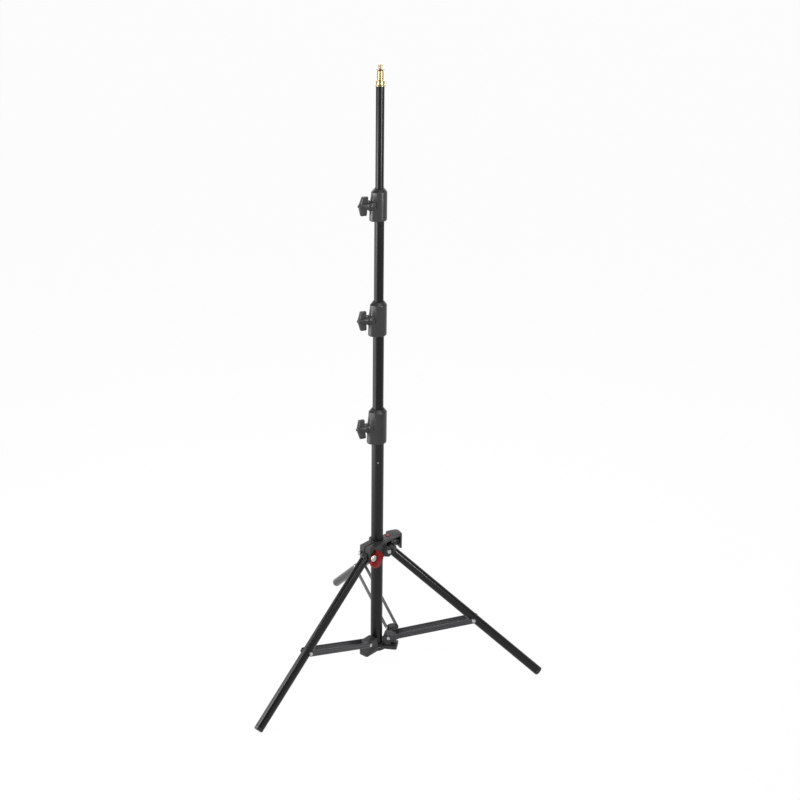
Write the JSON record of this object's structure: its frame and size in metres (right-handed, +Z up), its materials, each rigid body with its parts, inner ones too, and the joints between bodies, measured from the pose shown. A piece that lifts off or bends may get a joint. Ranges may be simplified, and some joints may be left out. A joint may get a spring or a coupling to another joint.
{
  "type": "telescopic light stand",
  "caption": "Folding tripod light stand with telescoping black tubes, wing-knob collars, a sliding hub with a red clamp lever, and a brass stud on top.",
  "frame": {"origin": "on the mast's axis, in the flat underside of the lower hub; the feet reach 45 mm below it", "axes": "+Z up the mast towards the stud, +X to the right and +Y to the rear, with the rear leg towards +Y"},
  "size_m": [0.7839, 0.819, 1.6776],
  "materials": {
    "black_tube": "satin",
    "black_moulding": "matte",
    "black_strip": "satin",
    "dark_nylon": "matte",
    "bright_steel": "polished",
    "brass": "polished",
    "red_moulding": "gloss"
  },
  "bodies": {
    "mast": {"base_tube": "black_tube", "lower_hub": "black_moulding", "lower_collar": "black_moulding", "lower_collar_liner": "dark_nylon", "lower_rivet_left": "bright_steel", "lower_rivet_right": "bright_steel", "lower_rivet_rear": "bright_steel", "lower_knob_shoe": "dark_nylon", "lower_knob_washer": "dark_nylon"},
    "riser_1": {"lower_riser": "black_tube", "lower_riser_piston": "dark_nylon", "middle_collar": "black_moulding", "middle_collar_liner": "dark_nylon", "middle_knob_shoe": "dark_nylon", "middle_knob_washer": "dark_nylon"},
    "riser_2": {"middle_riser": "black_tube", "middle_riser_piston": "dark_nylon", "upper_collar": "black_moulding", "upper_collar_liner": "dark_nylon", "upper_knob_shoe": "dark_nylon", "upper_knob_washer": "dark_nylon"},
    "riser_3": {"top_riser": "black_tube", "top_riser_piston": "dark_nylon", "spigot": "brass", "spigot_disc": "brass"},
    "hub": {"upper_hub": "black_moulding", "hub_bush": "dark_nylon", "clamp_bolt": "bright_steel", "clamp_nut": "bright_steel", "hub_rivet_right": "bright_steel", "hub_rivet_rear": "bright_steel"},
    "lever": {"clamp_lever": "red_moulding"},
    "button": {"release_button": "red_moulding"},
    "leg_left": {"leg_left": "black_tube", "leg_left_tongue": "black_moulding", "leg_left_foot": "dark_nylon"},
    "brace_left": {"brace_left_strip_a": "black_strip", "brace_left_strip_b": "black_strip", "brace_left_rivet_a": "bright_steel", "brace_left_rivet_b": "bright_steel"},
    "leg_right": {"leg_right": "black_tube", "leg_right_tongue": "black_moulding", "leg_right_foot": "dark_nylon"},
    "brace_right": {"brace_right_strip_a": "black_strip", "brace_right_strip_b": "black_strip", "brace_right_rivet_a": "bright_steel", "brace_right_rivet_b": "bright_steel"},
    "leg_rear": {"leg_rear": "black_tube", "leg_rear_tongue": "black_moulding", "leg_rear_foot": "dark_nylon"},
    "brace_rear": {"brace_rear_strip_a": "black_strip", "brace_rear_strip_b": "black_strip", "brace_rear_rivet_a": "bright_steel", "brace_rear_rivet_b": "bright_steel"},
    "lower_knob": {"lower_knob": "black_moulding", "lower_knob_screw": "bright_steel"},
    "middle_knob": {"middle_knob": "black_moulding", "middle_knob_screw": "bright_steel"},
    "upper_knob": {"upper_knob": "black_moulding", "upper_knob_screw": "bright_steel"}
  },
  "joints": [
    {"name": "riser_1_slide", "type": "slide", "parent": "mast", "child": "riser_1", "axis": [0, 0, 1], "range_m": [-0.205, 0.355]},
    {"name": "riser_2_slide", "type": "slide", "parent": "riser_1", "child": "riser_2", "axis": [0, 0, 1], "range_m": [-0.213, 0.333]},
    {"name": "riser_3_slide", "type": "slide", "parent": "riser_2", "child": "riser_3", "axis": [0, 0, 1], "range_m": [-0.254, 0.311]},
    {"name": "hub_slide", "type": "slide", "parent": "mast", "child": "hub", "axis": [0, 0, 1], "range_m": [0, 0.28517]},
    {"name": "leg_left_fold", "type": "hinge", "parent": "hub", "child": "leg_left", "pos_m": [-0.0281, -0.04421, 0.3114], "axis": [0.7547, -0.6561, 0], "range_deg": [0, 47]},
    {"name": "brace_left_fold", "type": "hinge", "parent": "mast", "child": "brace_left", "pos_m": [-0.0281, -0.04421, 0.0349], "axis": [-0.7547, 0.6561, 0], "range_deg": [0, 66.5]},
    {"name": "leg_right_fold", "type": "hinge", "parent": "hub", "child": "leg_right", "pos_m": [0.03685, -0.00122, 0.3114], "axis": [0.1736, 0.9848, 0], "range_deg": [0, 47]},
    {"name": "brace_right_fold", "type": "hinge", "parent": "mast", "child": "brace_right", "pos_m": [0.03685, -0.00122, 0.0349], "axis": [-0.1736, -0.9848, 0], "range_deg": [0, 66.5]},
    {"name": "leg_rear_fold", "type": "hinge", "parent": "hub", "child": "leg_rear", "pos_m": [0.04487, 0.04252, 0.3114], "axis": [-0.9171, -0.3987, 0], "range_deg": [0, 47]},
    {"name": "brace_rear_fold", "type": "hinge", "parent": "mast", "child": "brace_rear", "pos_m": [0.04487, 0.04252, 0.0349], "axis": [0.9171, 0.3987, 0], "range_deg": [0, 66.5]},
    {"name": "lever_turn", "type": "hinge", "parent": "hub", "child": "lever", "pos_m": [-0.00927, -0.06058, 0.3114], "axis": [0.7547, -0.6561, 0], "range_deg": [0, 90]},
    {"name": "button_press", "type": "slide", "parent": "hub", "child": "button", "axis": [0, 0, -1], "range_m": [0, 0.003], "stiffness_N_per_m": 400},
    {"name": "lower_knob_turn", "type": "hinge", "parent": "mast", "child": "lower_knob", "pos_m": [-0.02474, -0.01154, 0.67696], "axis": [-0.9063, -0.4226, 0], "range_deg": [0, 540]},
    {"name": "middle_knob_turn", "type": "hinge", "parent": "riser_1", "child": "middle_knob", "pos_m": [-0.02257, -0.01052, 0.98054], "axis": [-0.9063, -0.4226, 0], "range_deg": [0, 540]},
    {"name": "upper_knob_turn", "type": "hinge", "parent": "riser_2", "child": "upper_knob", "pos_m": [-0.02103, -0.0098, 1.28376], "axis": [-0.9063, -0.4226, 0], "range_deg": [0, 540]}
  ],
  "couplings": [
    {"joint": "leg_left_fold", "follows": "hub_slide", "rad_per_m": 2.8741},
    {"joint": "brace_left_fold", "follows": "hub_slide", "rad_per_m": 4.0627},
    {"joint": "leg_right_fold", "follows": "hub_slide", "rad_per_m": 2.8741},
    {"joint": "brace_right_fold", "follows": "hub_slide", "rad_per_m": 4.0627},
    {"joint": "leg_rear_fold", "follows": "hub_slide", "rad_per_m": 2.8741},
    {"joint": "brace_rear_fold", "follows": "hub_slide", "rad_per_m": 4.0627}
  ]
}
